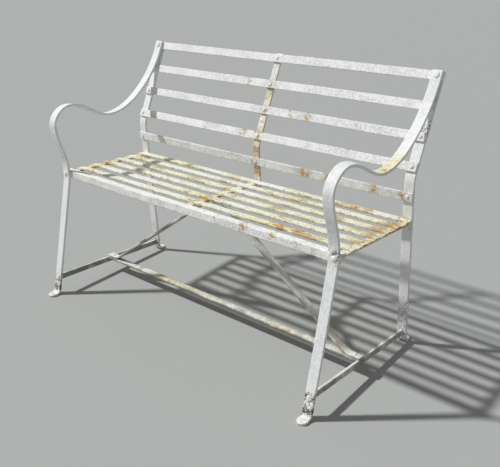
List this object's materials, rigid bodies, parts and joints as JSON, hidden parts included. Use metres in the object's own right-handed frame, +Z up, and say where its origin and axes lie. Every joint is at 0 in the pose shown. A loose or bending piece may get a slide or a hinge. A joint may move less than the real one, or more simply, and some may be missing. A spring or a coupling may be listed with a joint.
{
  "type": "garden bench",
  "caption": "Painted wrought iron garden bench of riveted flat bars, with a slatted seat, a leaning railed back, curled arms and braced legs.",
  "frame": {"origin": "centre of the bench's outline on the floor, level with the undersides of the feet", "axes": "+X along the bench to the right seen from the front, +Y from the front to the back, +Z up"},
  "size_m": [1.165, 0.6434, 0.8178],
  "materials": {
    "white_paint": "chalky white paint, worn to bare iron low on the legs",
    "pitted_rail_paint": "pitted white paint with rust spots",
    "stained_slat_paint": "cream stained white paint with rust",
    "dirty_low_paint": "dirty white paint",
    "rivet_paint": "painted over, rust at the edges"
  },
  "bodies": {
    "root": {"front_leg_arm_left": "white_paint", "front_leg_arm_right": "white_paint", "back_post_left": "white_paint", "back_post_right": "white_paint", "back_rail_1": "pitted_rail_paint", "back_rail_2": "pitted_rail_paint", "back_rail_3": "pitted_rail_paint", "back_rail_4": "pitted_rail_paint", "back_rail_5": "pitted_rail_paint", "centre_back_strap": "pitted_rail_paint", "seat_front_rail": "stained_slat_paint", "seat_slat_1": "stained_slat_paint", "seat_slat_2": "stained_slat_paint", "seat_slat_3": "stained_slat_paint", "seat_slat_4": "stained_slat_paint", "seat_slat_5": "stained_slat_paint", "seat_slat_6": "stained_slat_paint", "seat_cross_bar_left": "stained_slat_paint", "seat_cross_bar_centre": "stained_slat_paint", "seat_cross_bar_right": "stained_slat_paint", "side_rail_left": "dirty_low_paint", "side_rail_right": "dirty_low_paint", "stretcher": "dirty_low_paint", "brace_left": "dirty_low_paint", "brace_right": "dirty_low_paint", "rivet_rail_1_left": "rivet_paint", "rivet_rail_1_centre": "rivet_paint", "rivet_rail_1_right": "rivet_paint", "rivet_rail_2_left": "rivet_paint", "rivet_rail_2_centre": "rivet_paint", "rivet_rail_2_right": "rivet_paint", "rivet_rail_3_left": "rivet_paint", "rivet_rail_3_centre": "rivet_paint", "rivet_rail_3_right": "rivet_paint", "rivet_rail_4_left": "rivet_paint", "rivet_rail_4_centre": "rivet_paint", "rivet_rail_4_right": "rivet_paint", "rivet_rail_5_left": "rivet_paint", "rivet_rail_5_centre": "rivet_paint", "rivet_rail_5_right": "rivet_paint", "rivet_cross_bar_left": "rivet_paint", "rivet_cross_bar_centre": "rivet_paint", "rivet_cross_bar_right": "rivet_paint", "rivet_brace_left": "rivet_paint", "rivet_brace_right": "rivet_paint", "rivet_brace_tops": "rivet_paint"}
  },
  "joints": []
}
